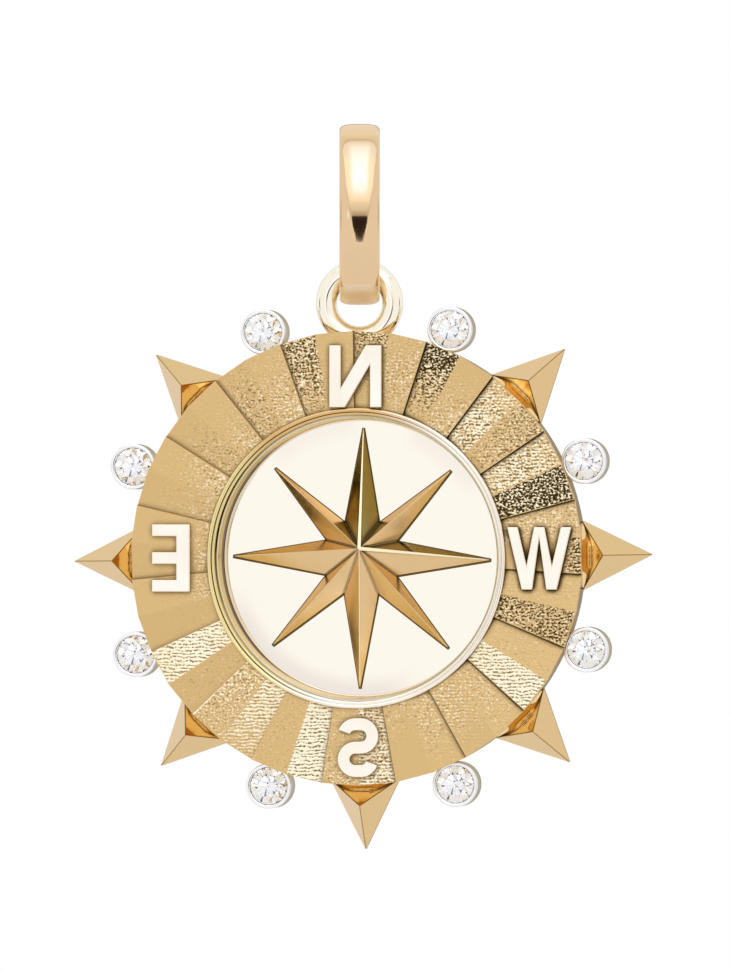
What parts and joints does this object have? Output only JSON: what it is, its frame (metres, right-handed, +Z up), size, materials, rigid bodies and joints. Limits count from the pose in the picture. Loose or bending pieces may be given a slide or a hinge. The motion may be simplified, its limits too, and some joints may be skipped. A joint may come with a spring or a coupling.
{
  "type": "compass pendant",
  "caption": "Round compass medallion with a pleated matte ring, raised letters, pointed rays, small clear stones and a ridged star in a polished dish, hanging by a loop on an oval bail.",
  "frame": {"origin": "top of the inside of the bail, where a chain carries it", "axes": "+Z up, +X to the right of the face as seen from the front, the face looks along -Y"},
  "size_m": [0.0258, 0.0052, 0.032],
  "materials": {
    "bail_gold": "polished 14 carat yellow gold",
    "medallion_gold": "14 carat yellow gold, matte textured pleats with polished rays, letters, lip, cups and loop",
    "dish_gold": "mirror polished 14 carat yellow gold",
    "stone": "round brilliant cut diamond"
  },
  "bodies": {
    "bail": {"bail": "bail_gold"},
    "medallion": {"medallion": "medallion_gold", "star_dish": "dish_gold", "stone_1": "stone", "stone_2": "stone", "stone_3": "stone", "stone_4": "stone", "stone_5": "stone", "stone_6": "stone", "stone_7": "stone", "stone_8": "stone"}
  },
  "joints": [
    {"name": "medallion_swing", "type": "hinge", "parent": "bail", "child": "medallion", "pos_m": [0, 0, -0.00587], "axis": [0.9914, 0.1305, 0], "range_deg": [-85, 85]}
  ]
}
